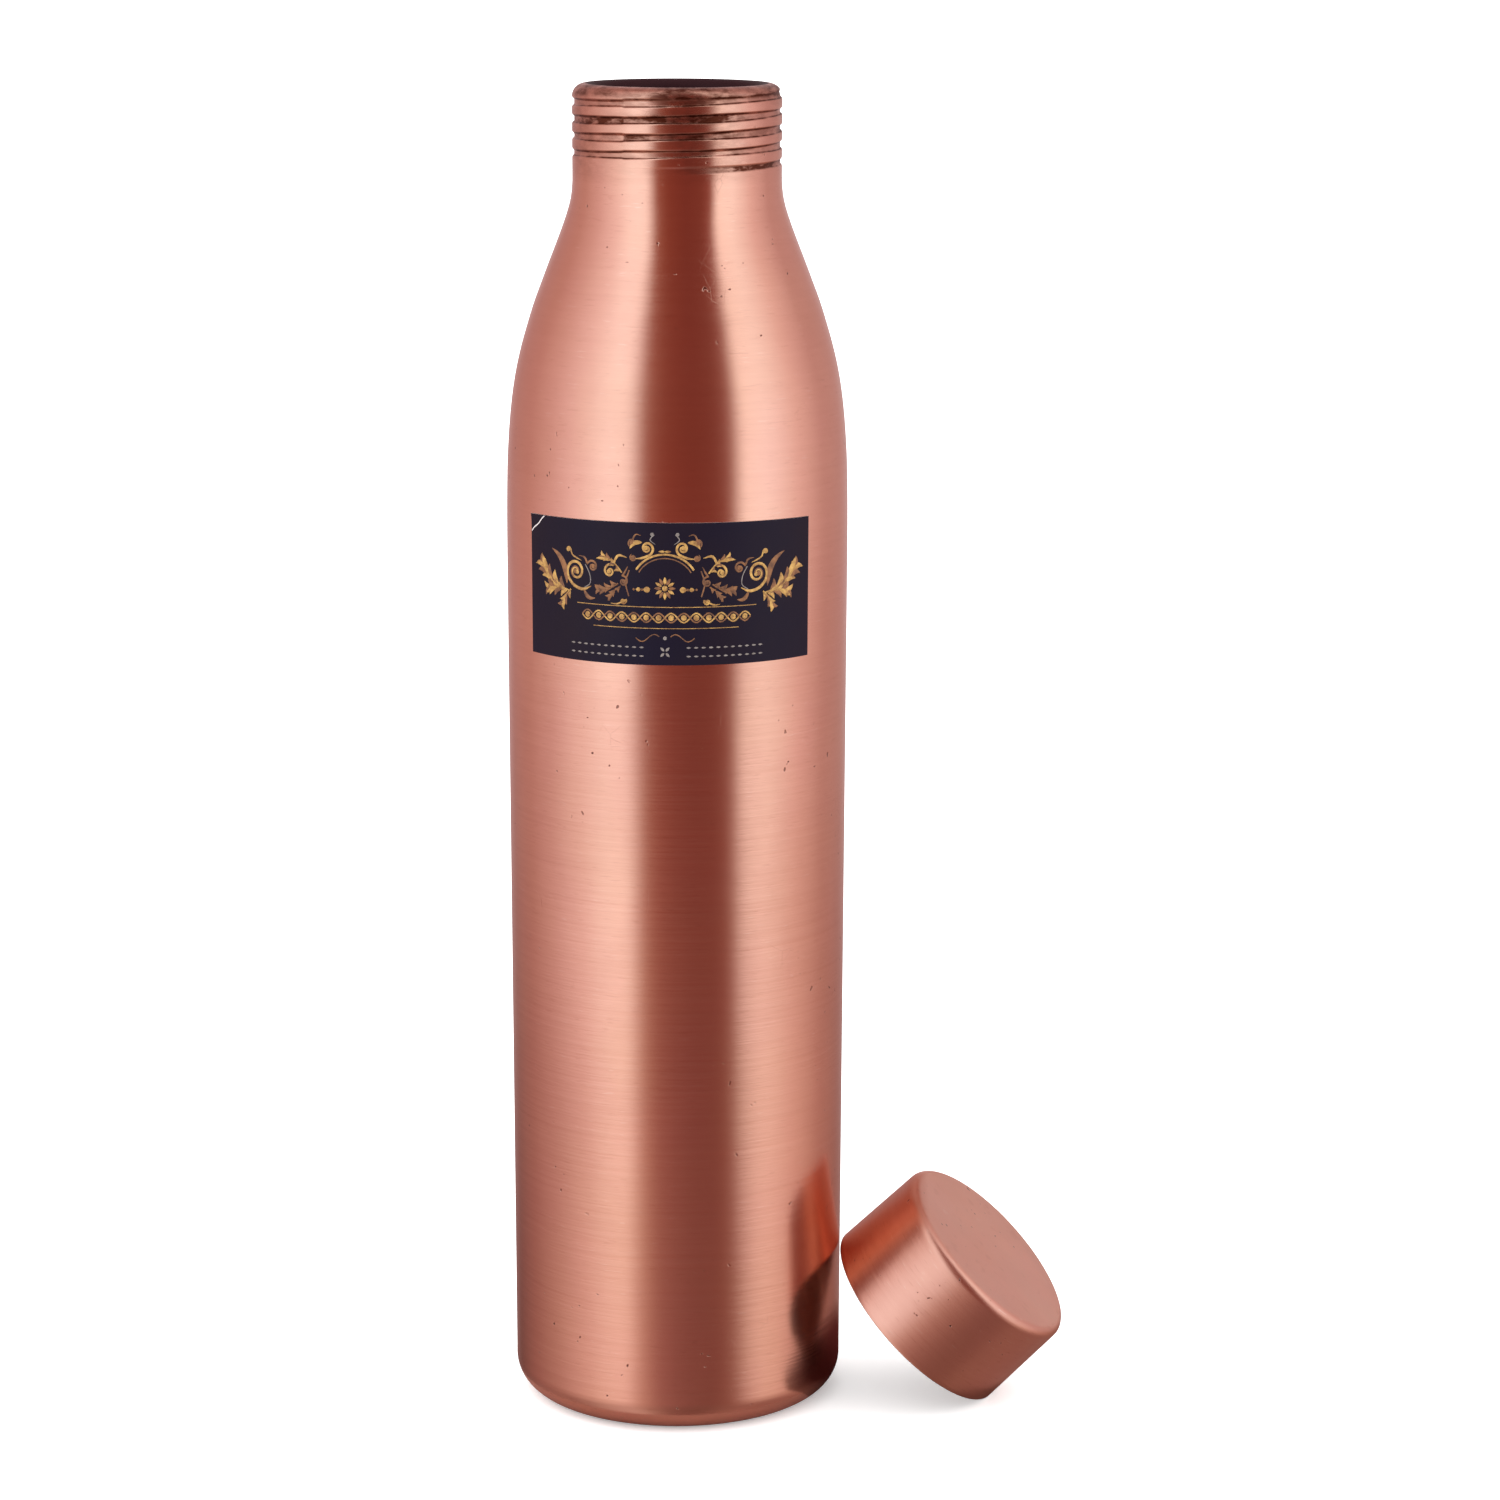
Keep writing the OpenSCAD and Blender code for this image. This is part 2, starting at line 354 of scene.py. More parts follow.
# darker copper for the cap's thread ring and liner: oxide, and painted shade that stands in for the dim
# inside of the cap
mat_inner = copper("inner_copper", rough=0.34, age=0.6, bright=(0.62, 0.29, 0.2), brown=(0.3, 0.12, 0.08),
                   specks=0.5).mat


def plain_noise_material(name, color, dark, rough, scale=120, metallic=0.0, bump=0.15, gloss=0.5):
    """Two tones in soft blotches, with a fine grain."""
    m = Nodes(name)
    n = m.noise(m.scaled(scale, scale, scale), detail=4, rough=0.6)
    grain = m.noise(m.scaled(3000, 3000, 3000), detail=2)
    m.put("Base Color", m.mix(m.ramp(n, (0.35, 0.0), (0.7, 1.0)), color, dark))
    m.put("Metallic", metallic)
    m.put("Specular IOR Level", gloss)
    m.put("Roughness", m.math("MULTIPLY_ADD", grain, 0.12, rough - 0.06))
    m.bump((grain, bump, 0.00003))
    return m.mat


mat_vinyl = plain_noise_material("label_vinyl", (0.0062, 0.0044, 0.015), (0.0105, 0.0056, 0.0115), 0.42,
                                 scale=30, gloss=0.12)
mat_vinyl_edge = plain_noise_material("label_edge", (0.62, 0.55, 0.53), (0.45, 0.38, 0.38), 0.5)
mat_gold = plain_noise_material("gold_light", (0.52, 0.305, 0.085), (0.19, 0.083, 0.026), 0.4,
                                scale=900, metallic=0.25)
mat_bronze = plain_noise_material("gold_deep", (0.24, 0.10, 0.035), (0.08, 0.032, 0.018), 0.45,
                                  scale=700, metallic=0.2)
mat_ash = plain_noise_material("gold_pale", (0.20, 0.17, 0.155), (0.12, 0.095, 0.09), 0.5, scale=900)
mat_silicone = plain_noise_material("seal_silicone", (0.72, 0.72, 0.68), (0.6, 0.58, 0.53), 0.5)


# ---------------------------------------------------------------- bottle shell: one sheet with rolled thread
def body_r(z):
    """Outer radius of the slightly tapered body at a height."""
    return BODY_LOW + (BODY_HIGH - BODY_LOW) * (z - CORNER) / (BODY_TOP - CORNER)


def bottle_path():
    """Outer face of the sheet, from the turned-in foot to the tail of the curled lip."""
    straight = [(body_r(z), z) for z in (120, 150, 178)]
    rise = smooth_path(straight + SHOULDER + [(NECK_R, NECK_LOW - 1.5), (NECK_R, NECK_LOW)], 1.1)
    lip_z = HEIGHT - LIP_R
    return join(line((FOOT_R, 0), (BODY_LOW - CORNER, 0), 3),
                arc(BODY_LOW - CORNER, CORNER, CORNER, -90, 0, 22),
                line((BODY_LOW, CORNER), straight[0], 26), rise,
                line((NECK_R, NECK_LOW), (NECK_R, lip_z), 126),
                arc(LIP_IN, lip_z, LIP_R, 0, 180, 26),
                line((LIP_IN - LIP_R, lip_z), (LIP_IN - LIP_R, lip_z - LIP_TAIL), 4))


def groove(theta, z):
    """How deep the rolled groove is, 0 to 1, at an angle (radians) and a height."""
    turn = (theta / TAU - THREAD_A / 360) % 1.0
    k = np.clip(np.round((z - THREAD_Z) / PITCH - turn), 0, np.floor(THREAD_TURNS - turn))
    centre = THREAD_Z + PITCH * (turn + k)
    along = turn + k
    d = np.abs(z - centre - 0.06 * wave(theta, centre, 3))
    half = 0.66 + 0.10 * np.sin(3 * theta + 1.7 * k)
    s = np.clip((half + 0.34 - d) / 0.68, 0, 1)
    depth = s * s * (3 - 2 * s)
    start = np.clip(along / 0.35, 0, 1)
    weak = 0.75 + 0.25 * np.clip(along / 2.0, 0, 1)
    end = np.clip((THREAD_TURNS - along) / 0.25, 0, 1)
    return depth * start * end * weak * (1 + 0.12 * wave(theta, z, 8))


outer = bottle_path()
inner = outer + WALL * normals(outer)
loop = np.concatenate([outer, inner[::-1]])
n_out = len(outer)
heights = np.concatenate([outer[:, 1], outer[::-1, 1]])
radii = np.concatenate([outer[:, 0], outer[::-1, 0]])
in_neck = (heights > THREAD_Z - 2) & (heights < HEIGHT + 1) & (radii > LIP_IN - 0.15)


def shell_shift(theta, i):
    """Slight unevenness of the drawn sheet, and the rolled thread in the neck."""
    z = heights[i]
    shift = 0.03 * wave(theta, z, 5)
    if z < 1 or radii[i] < NECK_R - 1:
        shift = shift * 0
    if in_neck[i]:
        shift = shift - GROOVE * groove(theta, np.full_like(theta, z)) + 0.05 * wave(theta, z * 4, 12)
    return shift


def shell_patina_and_shade(theta, i):
    """Grime along the groove's edges and in some turns' patches, a patchy painted shade on the lip that
    stands in for the dark it mirrors from above, and painted shade inside the mouth, black just inside it.
    """
    z = heights[i]
    # the inner face: darkened a little all over, then painted shade that grows towards the mouth and turns
    # black just inside it
    if i >= n_out or (radii[i] < LIP_IN - 0.15 and z > 200):
        return np.full_like(theta, np.interp(z, [266, 276], [0.45, 3.0]))
    if not in_neck[i]:
        return np.zeros_like(theta)
    g = groove(theta, np.full_like(theta, z))
    turn = (theta / TAU - THREAD_A / 360) % 1.0
    k = np.clip(np.round((z - THREAD_Z) / PITCH - turn), 0, 4).astype(int)
    near = [np.exp(-(((np.degrees(theta) - mid + 180) % 360 - 180) / width) ** 2) for mid, width in
            ((235, 38), (272, 30), (60, 50), (140, 40))]
    patch = np.clip(0.55 + 1.6 * wave(theta, z * 3, 21) + 0.5 * wave(3 * theta, z * 9, 22), 0, 1)
    fill = np.choose(k, [0.25, 0.35 + 0.4 * near[3], 0.5 + 0.7 * near[0] + 0.5 * near[2],
                         0.3 + 1.0 * near[1], 0.4])
    edge = np.clip(1 - np.abs(g - 0.5) / 0.36, 0, 1)
    worn = np.clip(0.5 + 1.8 * wave(2 * theta, z * 3, 33), 0, 1)
    rise = np.clip((z - 262) / 8, 0, 1)
    # the first term is grime on the thread's crests; the second is a patchy painted shade on the lip,
    # standing in for the dark it mirrors from above
    grime_and_lip_shade = rise * (0.1 + 0.28 * worn) + (0.4 + 0.3 * patch) * np.clip((z - 280.4) / 0.9, 0, 1)
    smear = 0.75 * near[1] * np.exp(-((z - 277.0 - 0.3 * wave(3 * theta, 0, 5)) / 0.8) ** 2)
    lines = 1.35 * edge * (0.5 + 0.5 * patch)
    return np.clip(lines + fill * g * (0.55 + 0.45 * patch) + grime_and_lip_shade + smear, 0, 1.3)


shell = lathe("bottle_body", loop, 320, mat_copper, shell_shift, shell_patina_and_shade)
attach(shell, "bottle")
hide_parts("bottle_shell")

# ---------------------------------------------------------------- base disc with a pressed rise
z0, out_r = WALL + 0.02, FOOT_R - 0.6
flange_z, raised_z = z0 + WALL, z0 + WALL + DISC_RISE
top = join(line((0, raised_z), (out_r - 2.2, raised_z), 8),
           smooth_path([(out_r - 1.8, raised_z), (out_r - 1.2, raised_z - 0.15),
                        (out_r - 0.2, flange_z + 0.2), (out_r + 0.5, flange_z)], 0.3),
           line((out_r + 0.8, flange_z), (DISC_R, flange_z), 3))
under = top - np.array([0, WALL])
disc = lathe("base_plate", np.concatenate([under, top[::-1]]), 128, mat_base, closed=False)
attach(disc, "bottle")
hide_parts("base_disc")


# ---------------------------------------------------------------- label: vinyl sheet with a bent corner
def on_label(x, y, lift=0.0):
    """Label coordinates in millimetres (x to the right along the arc, y up from its middle) to a point.
    The upper left corner stands off the bottle."""
    z = LABEL_LOW + LABEL_H / 2 + y
    corner = np.clip((1.15 * y - x - 47.6) / 4.5, 0, 1)
    rad = body_r(z) + LABEL_GAP + lift + 0.55 * corner ** 1.6
    a = math.radians(LABEL_FACING) + x / LABEL_R
    return np.stack([rad * np.cos(a), rad * np.sin(a), np.broadcast_to(z, np.shape(a))], -1) * MM


half_w, half_h = math.radians(LABEL_WRAP / 2) * LABEL_R, LABEL_H / 2
gx, gy = np.meshgrid(np.linspace(-half_w, half_w, 141), np.linspace(-half_h, half_h, 41))
# the upper edge is bowed a little
gy = gy + 0.35 * (1 - (gx / half_w) ** 2) * np.clip(gy / half_h, 0, 1)
front = on_label(gx, gy, LABEL_THICK).reshape(-1, 3)
back = on_label(gx, gy, 0.0).reshape(-1, 3)
rows, cols = gx.shape
faces, mats = [], []
for j in range(rows - 1):
    for i in range(cols - 1):
        a = j * cols + i
        faces.append((a, a + 1, a + 1 + cols, a + cols))
        mats.append(0)
        b = a + rows * cols
        faces.append((b, b + cols, b + 1 + cols, b + 1))
        mats.append(1)
rim = ([(0, i) for i in range(cols - 1)] + [(j, cols - 1) for j in range(rows - 1)]
       + [(rows - 1, i) for i in range(cols - 1, 0, -1)] + [(j, 0) for j in range(rows - 1, 0, -1)])
rim_i = [j * cols + i for j, i in rim]
for a, b in zip(rim_i, rim_i[1:] + rim_i[:1]):
    faces.append((b, a, a + rows * cols, b + rows * cols))
    mats.append(1)
sticker = mesh_object("label_sheet", np.concatenate([front, back]), faces, [mat_vinyl, mat_vinyl_edge],
                      face_mats=mats)
edge = sticker.modifiers.new("edges", "EDGE_SPLIT")
edge.split_angle = math.radians(40)
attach(sticker, "bottle")
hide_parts("label")


NARROW = 0.93  # the ornament's x coordinates are drawn in by this
PRINT_Z = LABEL_THICK + 0.005


class Ornament:
    """Collects raised strokes and leaves in label coordinates, mirrored left and right when asked."""

    def __init__(self, name, material):
        self.name, self.material, self.v, self.f = name, material, [], []

    def stroke(self, pts, widths, height=0.07, mirror=True):
        """A raised line with sloping sides along the points, as wide as widths says."""
        for sign in ((1, -1) if mirror else (1,)):
            p = np.array(pts, float) * [NARROW * sign, 1]
            w = np.broadcast_to(np.asarray(widths, float), len(p))[:, None] / 2
            nrm = normals(p)
            base = len(self.v)
            top_z = PRINT_Z + height
            for off, lift in ((-1, PRINT_Z), (-0.45, top_z), (0.45, top_z), (1, PRINT_Z)):
                q = p + off * w * nrm
                self.v.extend(on_label(q[:, 0], q[:, 1], lift))
            n = len(p)
            for k in range(3):
                for i in range(n - 1):
                    a, b = base + k * n + i, base + (k + 1) * n + i
                    self.f.append((a, a + 1, b + 1, b) if sign < 0 else (a, b, b + 1, a + 1))

    def spiral(self, cx, cy, r0, turns, start, hand=1, width=0.5, mirror=True, ball=0.5, tail=None):
        """A scroll that winds in to a ball, with a tail of points that leads to it."""
        t = np.linspace(0, 1, int(26 * turns))
        r = r0 * (1 - 0.86 * t ** 0.85)
        a = math.radians(start) + hand * TAU * turns * t
        p = np.stack([cx + r * np.cos(a), cy + r * np.sin(a)], 1)
        if tail is not None:
            p = np.concatenate([smooth_path(list(tail) + [p[0]], 0.25)[:-1], p])
        w = width * np.interp(np.linspace(0, 1, len(p)), [0, 0.12, 0.6, 1], [0.25, 1, 0.9, 0.45])
        self.stroke(p, w, mirror=mirror)
        self.dot(p[-1][0], p[-1][1], ball, mirror)

    def dot(self, x, y, r, mirror=True):
        a = np.linspace(0, TAU, 13)
        self.stroke(np.stack([x + 0.5 * r * np.cos(a), y + 0.5 * r * np.sin(a)], 1), r * 0.98, 0.1, mirror)

    def petal(self, root, tip, bend, width, mirror=True, height=0.09):
        """One pointed lobe along a bent rib, fullest past the middle."""
        root, tip = np.array(root, float), np.array(tip, float)
        d = tip - root
        t = np.linspace(0, 1, 16)[:, None]
        p = root + d * t + np.array([-d[1], d[0]]) * bend * np.sin(np.pi * t * 0.9)
        s = t[:, 0]
        self.stroke(p, width * (np.sin(np.pi * s ** 0.85) ** 0.8 + 0.05), height, mirror)

    def frond(self, root, tip, bend, size, count, mirror=True, under=None):
        """A feathery leaf: a bent rib with curling lobes that shorten towards the tip."""
        root, tip = np.array(root, float), np.array(tip, float)
        d = tip - root
        length = np.linalg.norm(d)
        side = np.array([-d[1], d[0]]) / length
        fwd = d / length
        for k in range(count):
            s = 0.06 + 0.84 * k / count
            at = root + d * s + side * length * bend * math.sin(math.pi * s * 0.9)
            lobe = size * (0.55 + 0.75 * math.sin(math.pi * (0.18 + 0.7 * s)))
            for hand in (1, -1):
                end = at + fwd * lobe * 0.95 + side * hand * lobe * 0.62
                tone = under if under is not None and (k + (hand > 0)) % 2 else self
                tone.petal(at, end, -0.22 * hand, lobe * 0.42, mirror)
        middle = root + fwd * length * 0.55 + side * length * bend
        self.petal(middle, tip, bend * 0.3, size * 0.6, mirror, 0.12)
        t = np.linspace(0, 0.85, 20)[:, None]
        rib = root + d * t + side * length * bend * np.sin(np.pi * t * 0.9)
        self.stroke(rib, np.linspace(0.34, 0.14, 20), 0.14, mirror)

    def done(self):
        """Makes the mesh of all that was collected."""
        o = mesh_object(self.name, self.v, self.f, [self.material])
        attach(o, "bottle")


gold = Ornament("label_gold", mat_gold)
deep = Ornament("label_bronze", mat_bronze)
pale = Ornament("label_pale", mat_ash)

# leaf sprays and scrolls at both ends
gold.frond((23.4, -0.4), (31.2, 6.6), -0.16, 2.5, 5, under=deep)
gold.frond((22.8, -0.2), (29.6, -1.4), 0.16, 2.1, 4, under=deep)
gold.frond((22.2, 0.2), (24.6, -4.0), 0.14, 1.6, 3, under=deep)
deep.petal((23.4, 1.2), (28.2, 7.8), 0.2, 1.3)
gold.spiral(20.9, 4.0, 2.6, 1.7, -50, 1, 0.62, tail=[(16.9, 1.2), (19.0, 0.4), (21.4, 1.0)])
deep.spiral(20.9, 4.0, 1.5, 1.2, -90, 1, 0.42)
gold.spiral(22.9, 8.3, 0.75, 1.1, 200, -1, 0.34, tail=[(19.4, 6.3), (20.8, 6.8), (21.9, 7.4)], ball=0.4)
deep.spiral(16.6, 5.3, 1.35, 1.4, 20, 1, 0.45, tail=[(20.0, 7.3), (18.6, 7.0)])
pale.stroke(smooth_path([(18.4, 5.6), (17.3, 3.6), (17.2, 1.8), (18.6, 0.8)], 0.3), 0.2)
deep.petal((18.8, 0.4), (15.8, -0.9), 0.3, 0.8)
# middle clusters
gold.frond((9.6, 4.4), (15.6, 7.0), 0.20, 1.3, 4, under=deep)
gold.spiral(12.4, 4.6, 1.5, 1.4, 120, -1, 0.5, tail=[(8.4, 7.6), (10.4, 7.9)])
deep.frond((10.4, 2.2), (16.0, 1.6), -0.20, 1.5, 4)
deep.frond((9.8, 1.6), (12.8, -1.6), 0.12, 1.1, 3)
deep.spiral(9.3, 2.6, 1.2, 1.3, 80, 1, 0.38, tail=[(8.2, 5.8), (9.0, 4.4)])
deep.stroke(smooth_path([(7.9, 5.0), (8.7, 2.4), (8.0, -0.4)], 0.3), 0.28)
gold.spiral(9.3, -1.4, 0.8, 1.1, 160, 1, 0.34, tail=[(12.2, -2.0), (10.8, -2.1)], ball=0.35)
# crest over the arch
gold.spiral(3.9, 9.6, 1.5, 1.6, 250, -1, 0.5, tail=[(6.6, 7.4), (5.0, 7.6)])
gold.petal((5.0, 10.8), (7.6, 9.2), 0.25, 0.9)
pale.spiral(2.8, 12.6, 0.5, 1.0, 190, 1, 0.22, tail=[(2.0, 10.4), (3.2, 11.4)], ball=0.3)
deep.spiral(7.2, 10.7, 1.0, 1.2, 300, 1, 0.34, tail=[(5.2, 12.2), (6.4, 12.4)])
deep.spiral(6.9, 7.6, 0.9, 1.1, 60, -1, 0.34)
a = np.radians(np.linspace(30, 150, 44))
gold.stroke(np.stack([7.3 * np.cos(a), 1.9 + 6.5 * np.sin(a)], 1), 0.42, mirror=False)
deep.stroke(np.stack([6.6 * np.cos(a), 1.7 + 5.9 * np.sin(a)], 1), 0.24, mirror=False)
gold.petal((0, 9.0), (1.4, 9.0), 0.0, 0.45)
# plain medallion: petals round a bead, with lozenges to both sides
for k in range(12):
    c, s = math.cos(TAU * k / 12), math.sin(TAU * k / 12)
    tone = gold if k % 2 else deep
    tone.petal((0.8 * c, 1.4 + 0.8 * s), (2.35 * c, 1.4 + 2.35 * s), 0.0, 0.6, mirror=False)
gold.dot(0, 1.4, 0.6, mirror=False)
for x, size in ((4.0, 1.3), (5.9, 0.9)):
    gold.petal((x - size * 0.6, 1.1), (x + size * 0.6, 1.1), 0.0, size * 0.9)
    deep.dot(x + 1.0, 1.1, 0.26)
# rules, with a braid between them
xs = np.linspace(-20.6, 20.6, 90)
gold.stroke(np.stack([xs, np.full_like(xs, -2.5)], 1), 0.15, 0.03, mirror=False)
xs = np.linspace(-16.4, 16.4, 80)
gold.stroke(np.stack([xs, np.full_like(xs, -6.9)], 1), 0.13, 0.03, mirror=False)
for phase, tone in ((0.0, gold), (math.pi, deep)):
    xs = np.linspace(-19.2, 19.2, 260)
    tone.stroke(np.stack([xs, -4.7 + 0.95 * np.sin(TAU * xs / 5.5 + phase)], 1), 0.3, mirror=False)
for k in range(14):
    x = -17.875 + 2.75 * k
    gold.dot(x, -4.7, 0.62, mirror=False)
# small flourish and two rows of fine beads along the lower edge
t = np.linspace(0.06, 1, 40)
deep.stroke(np.stack([0.9 + 5.6 * t, -8.9 + 0.75 * np.sin(TAU * t)], 1), 0.22)
pale.dot(0, -8.9, 0.4, mirror=False)
for y in (-10.9, -12.7):
    for k in range(11):
        x = 5.2 + 1.65 * k
        pale.petal((x - 0.5, y), (x + 0.5, y), 0.0, 0.36)
for k in range(4):
    c, s = math.cos(TAU * (k + 0.5) / 4), math.sin(TAU * (k + 0.5) / 4)
    pale.petal((0.25 * c, -11.8 + 0.25 * s), (1.4 * c, -11.8 + 1.4 * s), 0.0, 0.5, mirror=False)
for o in (gold, deep, pale):
    o.done()
# the crack in the vinyl where the corner was bent
crack = Ornament("label_crack", mat_vinyl_edge)
t = np.linspace(0, 1, 16)
crack.stroke(np.stack([(-half_w + 0.2 + 4.4 * t) / NARROW, half_h - 3.6 + 3.5 * t + 0.12 * np.sin(9 * t)], 1),
             0.24, 0.05, mirror=False)
crack.done()

# ---------------------------------------------------------------- cap, built around Z and leaned into place
lean = (Matrix.Translation(Vector((CAP_X, CAP_Y, CAP_RIM * math.cos(math.radians(TILT)))) * MM)
        @ Matrix.Rotation(math.radians(FACING), 4, "Z") @ Matrix.Rotation(math.radians(90 - TILT), 4, "Y"))
path = join(arc(CAP_RIM - 0.2, 0.2, 0.2, -90, 0, 4), line((CAP_RIM, 0.2), (CAP_TOP, CAP_H - CAP_CORNER), 30),
            arc(CAP_TOP - CAP_CORNER, CAP_H - CAP_CORNER, CAP_CORNER, 0, 90, 14),
            line((CAP_TOP - CAP_CORNER, CAP_H), (0, CAP_H), 14))
inside = join(arc(CAP_RIM - 0.35, 0.2, 0.2, -90, -180, 4),
              line((CAP_RIM - WALL, 0.2), (CAP_TOP - WALL, CAP_H - CAP_CORNER), 20),
              arc(CAP_TOP - CAP_CORNER, CAP_H - CAP_CORNER, CAP_CORNER - WALL, 0, 90, 10),
              line((CAP_TOP - CAP_CORNER, CAP_H - WALL), (0, CAP_H - WALL), 10))
cap_loop = np.concatenate([inside[::-1], path])
cap_in = len(inside)


def cap_shift(theta, i):
    """Slight unevenness of the cup's wall."""
    r, z = cap_loop[i]
    return 0.02 * wave(theta, z, 31) if r > 5 else np.zeros_like(theta)


cup = lathe("cap_cup", cap_loop, 256, mat_cap, cap_shift,
            lambda a, i: np.full_like(a, 0.35 if i < cap_in else 0.0), closed=False, matrix=lean)
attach(cup, "cap")
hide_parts("cap_shell")

# ---------------------------------------------------------------- threaded ring pressed into the cap
zs = np.linspace(0.9, CAP_H - CAP_CORNER - 0.1, 120)


def ridge(theta, z):
    """How far the sleeve's rolled ridge stands in, 0 to 1."""
    turn = (theta / TAU) % 1.0
    k = np.clip(np.round((z - SLEEVE_LOW) / PITCH - turn), 0, SLEEVE_TURNS)
    along = turn + k
    s = np.clip((1.1 - np.abs(z - SLEEVE_LOW - PITCH * along)) / 0.8, 0, 1)
    return s * s * (3 - 2 * s) * np.clip(along / 0.3, 0, 1) * np.clip((SLEEVE_TURNS - along) / 0.3, 0, 1)


ring = np.concatenate([np.stack([np.full_like(zs, SLEEVE_IN), zs], 1),
                       np.stack([np.full_like(zs, SLEEVE_IN + SLEEVE_WALL), zs[::-1]], 1)])
sleeve = lathe("cap_thread_ring", ring, 192, mat_inner,
               lambda a, i: -SLEEVE_RIDGE * (i < len(zs)) * ridge(a, np.full_like(a, ring[i, 1])),
               lambda a, i: 0.25 * ridge(a, np.full_like(a, ring[i, 1])), matrix=lean)
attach(sleeve, "cap")
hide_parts("cap_sleeve")

# ---------------------------------------------------------------- liner disc and silicone seal in the cap
lz, half = CAP_H - WALL - LINER_THICK, (LINER_THICK - LINER_GAP) / 2
edge_r = LINER_R - half
disc_loop = join([(0, lz)], line((4, lz), (edge_r - 0.25, lz), 6), arc(edge_r, lz + half, half, -90, 90, 6),
                 line((edge_r - 0.25, lz + 2 * half), (0, lz + 2 * half), 3))
liner = lathe("cap_liner_disc", disc_loop, 96, mat_inner, closed=False, matrix=lean)
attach(liner, "cap")
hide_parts("cap_liner")

gz = lz - SEAL_GAP - SEAL_THICK
seal_loop = join(*[arc(r, z, SEAL_EDGE, start, start + 90, 5) for r, z, start in (
    (SEAL_OUT - SEAL_EDGE, gz + SEAL_EDGE, -90), (SEAL_OUT - SEAL_EDGE, gz + SEAL_THICK - SEAL_EDGE, 0),
    (SEAL_IN + SEAL_EDGE, gz + SEAL_THICK - SEAL_EDGE, 90), (SEAL_IN + SEAL_EDGE, gz + SEAL_EDGE, 180))])
gasket = lathe("cap_seal_ring", seal_loop, 128, mat_silicone, matrix=lean)
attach(gasket, "seal")
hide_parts("cap_gasket")

# ---------------------------------------------------------------- floor, studio light and camera
WORLD_STRENGTH, FLOOR_GLOW, TENT_STRENGTH = 1.9, 0.3, 1.5
BACK = (0.42, 0.33, 0.34)  # the tent's colour straight behind the set
CAM_AT, CAM_DOWN, CAM_ROLL, CAM_LENS = (15.49, -895, 328.2), 11.767, 0.16, 102.5
bpy.ops.mesh.primitive_plane_add(size=12, location=(0, 0, -0.00002))
floor = bpy.context.object
floor.name = "floor"
fm = Nodes("floor_white")
fm.put("Base Color", fm.mix(fm.noise(fm.scaled(3, 3, 3)), (0.93, 0.93, 0.93), (0.91, 0.91, 0.91)))
fm.put("Roughness", 0.9)
fm.put("Specular IOR Level", 0.1)
fm.put("Emission Color", (1, 1, 1, 1))
fm.put("Emission Strength", FLOOR_GLOW)
floor.data.materials.append(fm.mat)
floor.visible_glossy = False

world = bpy.data.worlds.new("studio")
bpy.context.scene.world = world
world.use_nodes = True
world.node_tree.nodes["Background"].inputs["Color"].default_value = (1, 1, 1, 1)
world.node_tree.nodes["Background"].inputs["Strength"].default_value = WORLD_STRENGTH


def tent(high, low, floor_side):
    """A light tent round the set: tall soft panels at the front left and right, a dark gap between them where
    the photographer stands, and softer light to the sides and back. Only gloss sees it. high, low and
    floor_side give its colour by direction, in degrees from the camera's side, from the top to the floor."""
    bpy.ops.mesh.primitive_uv_sphere_add(segments=96, ring_count=48, radius=2.6, location=(0, 0, 0.15))
    o = bpy.context.object
    o.name = "light_tent"
    m = Nodes("light_tent")
    t = m.t
    t.nodes.remove(m.bsdf)
    sep = m.new("ShaderNodeSeparateXYZ")
    m.link(m.coord, sep.inputs[0])
    x, y, z = sep.outputs
    angle = m.math("DIVIDE", m.math("ARCTAN2", x, m.math("MULTIPLY", y, -1.0)), TAU)
    angle = m.math("ADD", angle, 0.5)
    colors = [m.ramp(angle, *[(deg / 360 + 0.5, c) for deg, c in stops]) for stops in (floor_side, low, high)]
    # going up, low takes over from floor_side, and then high from low, each over about 0.7 m
    above_floor = m.math("MULTIPLY_ADD", z, 1.3, 2.3, clamp=True)
    above_low = m.math("MULTIPLY_ADD", z, 1.6, 1.65, clamp=True)
    em = m.new("ShaderNodeEmission")
    m.link(m.mix(above_floor, colors[0], m.mix(above_low, *colors[1:])), em.inputs["Color"])
    em.inputs["Strength"].default_value = TENT_STRENGTH
    t.links.new(em.outputs[0], t.nodes["Material Output"].inputs["Surface"])
    o.data.materials.append(m.mat)
    o.visible_camera = o.visible_diffuse = o.visible_shadow = o.visible_transmission = False


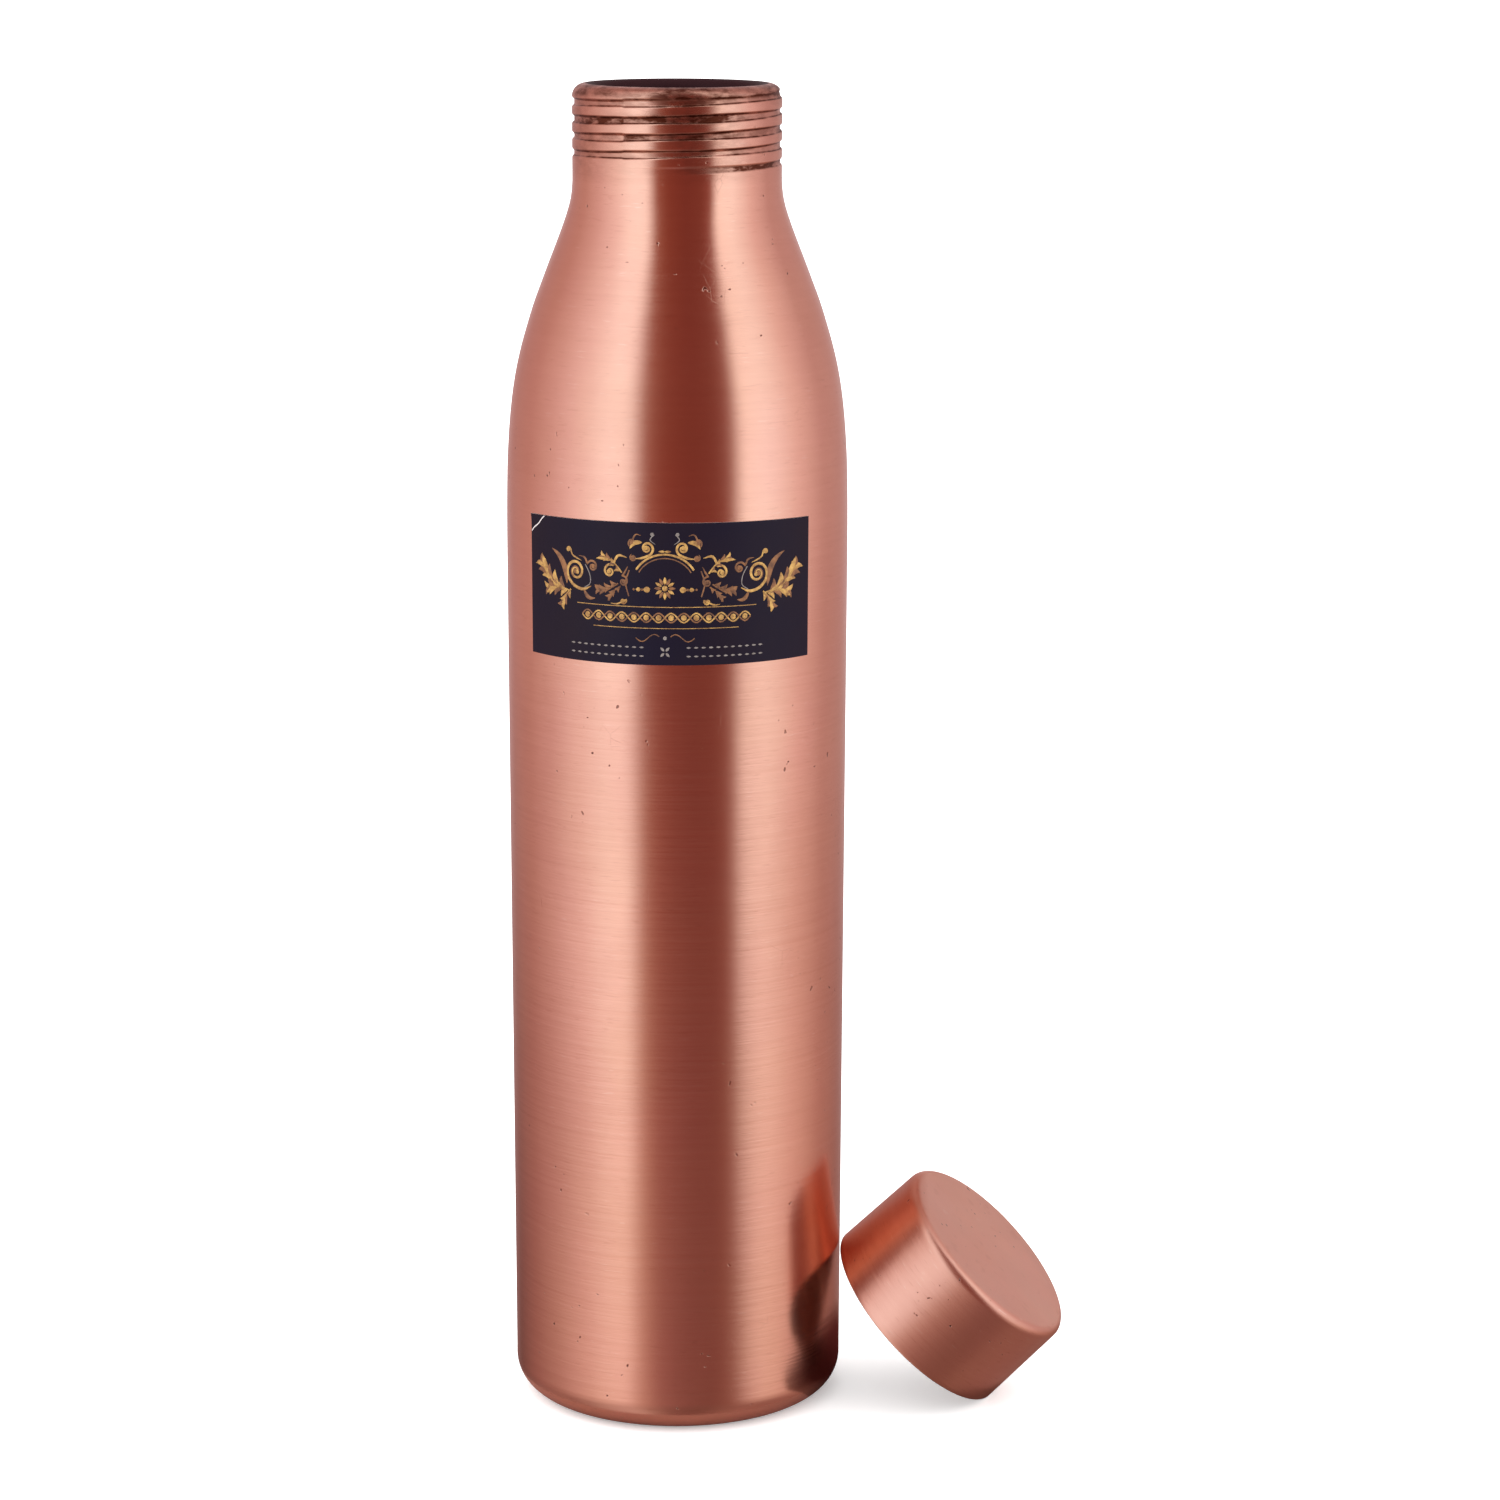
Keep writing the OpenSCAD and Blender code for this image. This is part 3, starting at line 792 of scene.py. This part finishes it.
tent([(-179, BACK), (-147, (0.33, 0.205, 0.20)), (-118, (0.37, 0.235, 0.22)), (-92, (0.49, 0.375, 0.375)),
      (-66, (0.67, 0.62, 0.635)), (-50, (0.79, 0.835, 0.87)), (-33, (0.82, 0.86, 0.90)),
      (-21, (0.22, 0.08, 0.055)), (-8, (0.157, 0.042, 0.029)), (10, (0.129, 0.033, 0.025)),
      (27, (0.137, 0.037, 0.027)), (37, (0.187, 0.057, 0.043)), (46, (0.77, 0.77, 0.77)),
      (63, (0.73, 0.745, 0.77)), (88, (0.56, 0.46, 0.46)), (116, (0.37, 0.26, 0.255)),
      (147, (0.35, 0.24, 0.232)), (179, BACK)],
     [(-179, (0.2, 0.13, 0.13)), (-147, (0.10, 0.045, 0.04)), (-118, (0.205, 0.10, 0.092)),
      (-92, (0.31, 0.19, 0.17)), (-66, (0.475, 0.335, 0.305)), (-48, (0.60, 0.475, 0.435)),
      (-36, (0.65, 0.535, 0.485)), (-26, (0.43, 0.285, 0.24)), (-12, (0.247, 0.127, 0.117)),
      (10, (0.173, 0.08, 0.073)), (27, (0.153, 0.067, 0.06)), (42, (0.19, 0.083, 0.063)),
      (58, (0.56, 0.44, 0.40)), (68, (0.58, 0.46, 0.40)), (88, (0.467, 0.32, 0.28)),
      (116, (0.29, 0.155, 0.125)), (147, (0.17, 0.08, 0.065)), (179, (0.2, 0.13, 0.13))],
     [(-179, (0.2, 0.11, 0.10)), (-92, (0.22, 0.125, 0.11)), (-66, (0.32, 0.22, 0.20)),
      (-48, (0.40, 0.30, 0.27)), (-36, (0.41, 0.315, 0.285)), (-22, (0.28, 0.175, 0.15)),
      (-8, (0.175, 0.09, 0.08)), (10, (0.135, 0.066, 0.057)), (24, (0.145, 0.072, 0.062)),
      (42, (0.19, 0.10, 0.085)), (58, (0.22, 0.125, 0.105)), (80, (0.21, 0.115, 0.098)),
      (116, (0.20, 0.108, 0.092)), (179, (0.2, 0.11, 0.10))])

# the shaded floor under the bottle and the cap, for gloss only, because gloss doesn't see the floor itself
for name, tone, edge, (cx, cy, z), (rx, ry) in (
        ("shade_bottle", (0.47, 0.28, 0.24), (0.31, 0.18, 0.155), (0, 0, -0.014), (37.0, 37.0)),
        ("shade_cap", (0.055, 0.012, 0.012), (0.17, 0.093, 0.08), (50, 10, -0.007), (26, 40))):
    ring = [(MM * (cx + rx * math.cos(k * TAU / 64)), MM * (cy + ry * math.sin(k * TAU / 64)), MM * z)
            for k in range(64)]
    m = Nodes(name)
    away = m.new("ShaderNodeVectorMath", operation="LENGTH")
    m.link(m.scaled(1000 / rx, 1000 / ry, 0, (-cx / rx, -cy / ry, 0)), away.inputs[0])
    m.put("Base Color", m.mix(m.ramp(away.outputs["Value"], (0.6, 0.0), (1.0, 1.0)), tone, edge))
    m.put("Roughness", 0.9)
    m.put("Specular IOR Level", 0.0)
    shade = mesh_object(name, ring, [tuple(range(64))], [m.mat])
    shade.visible_camera = shade.visible_diffuse = shade.visible_shadow = False

cam_data = bpy.data.cameras.new("camera")
cam_data.sensor_width = 36
cam_data.lens = CAM_LENS
cam_data.clip_start = 0.05
cam = bpy.data.objects.new("camera", cam_data)
bpy.context.scene.collection.objects.link(cam)
cam.matrix_world = (Matrix.Translation(Vector(CAM_AT) * MM)
                    @ Matrix.Rotation(math.radians(90 - CAM_DOWN), 4, "X")
                    @ Matrix.Rotation(math.radians(CAM_ROLL), 4, "Z"))
bpy.context.scene.camera = cam
bpy.context.scene.view_settings.view_transform = "Standard"
bpy.context.scene.view_settings.look = "None"
